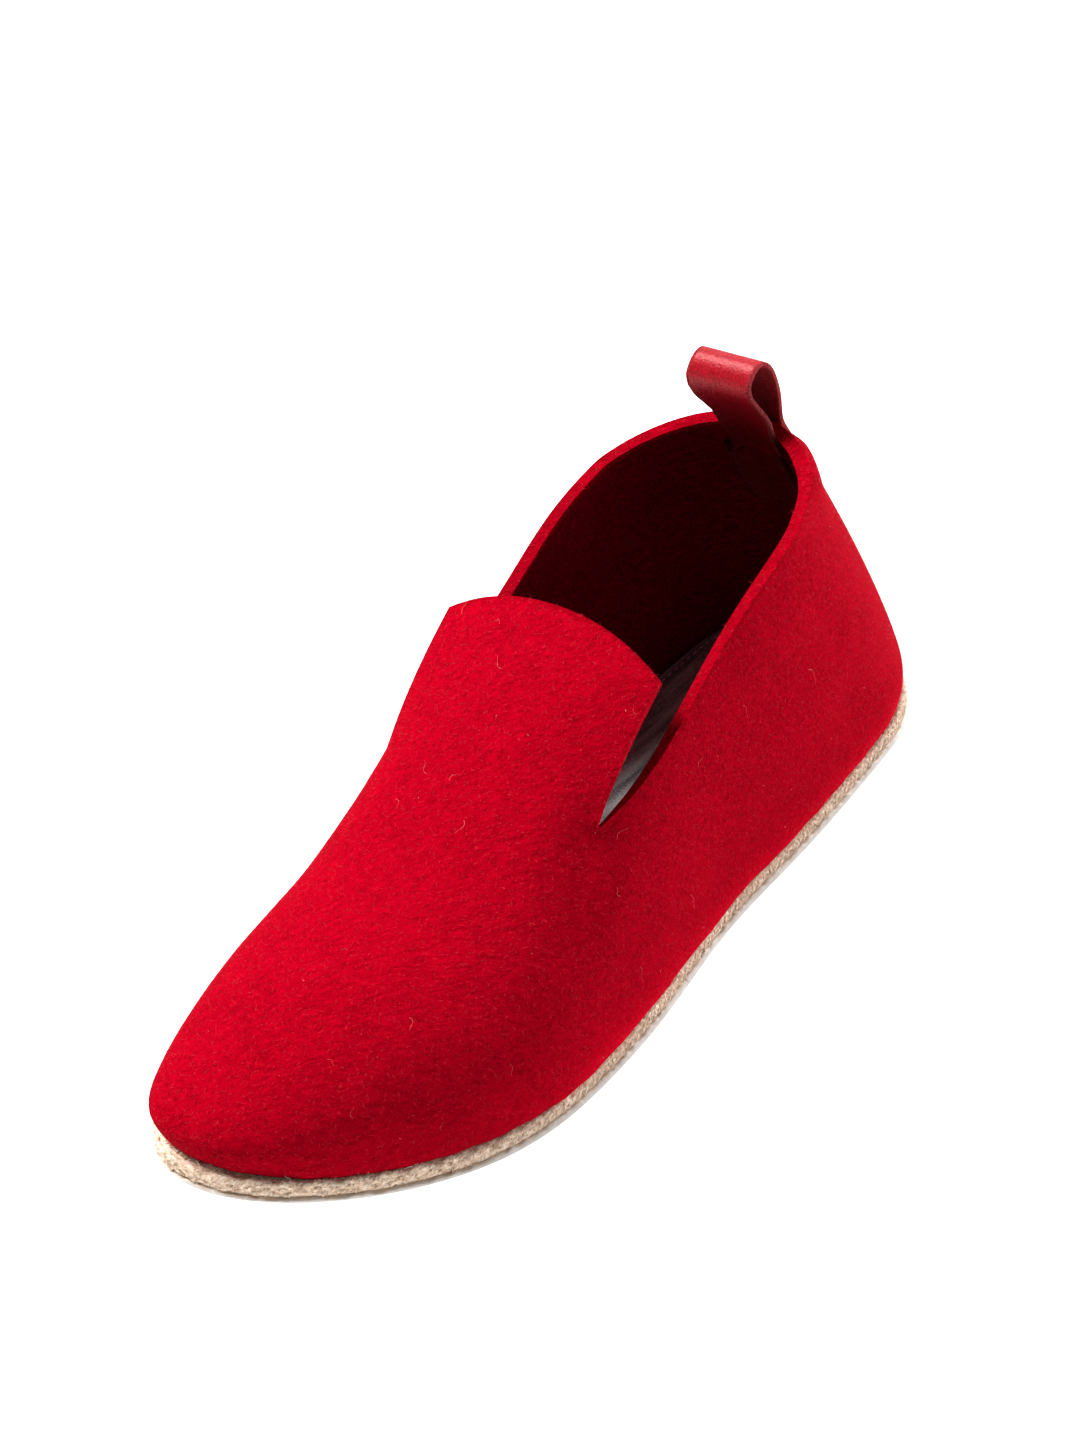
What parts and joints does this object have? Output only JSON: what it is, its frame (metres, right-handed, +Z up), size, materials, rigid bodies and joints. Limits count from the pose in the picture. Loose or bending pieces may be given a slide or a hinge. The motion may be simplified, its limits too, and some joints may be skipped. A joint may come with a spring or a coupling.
{
  "type": "slipper",
  "caption": "Left slip-on slipper: moulded felt upper with a slit-sided flap and high heel collar, leather pull loop, insole, braided jute midsole and thin rubber outsole.",
  "frame": {"origin": "on the floor under the middle of the slipper's box, length and width both counted", "axes": "+Z up, +Y along the foot from the toe to the heel, +X to the outer (lateral) side of the left foot"},
  "size_m": [0.0995, 0.28, 0.1208],
  "materials": {
    "rubber": "pale translucent crepe rubber",
    "jute": "braided natural jute cord",
    "insole": "grey brushed suede",
    "felt": "thick moulded wool felt",
    "leather": "smooth-grained leather"
  },
  "bodies": {
    "root": {"outsole": "rubber", "midsole": "jute", "insole": "insole", "upper": "felt", "pull_loop": "leather"}
  },
  "joints": []
}
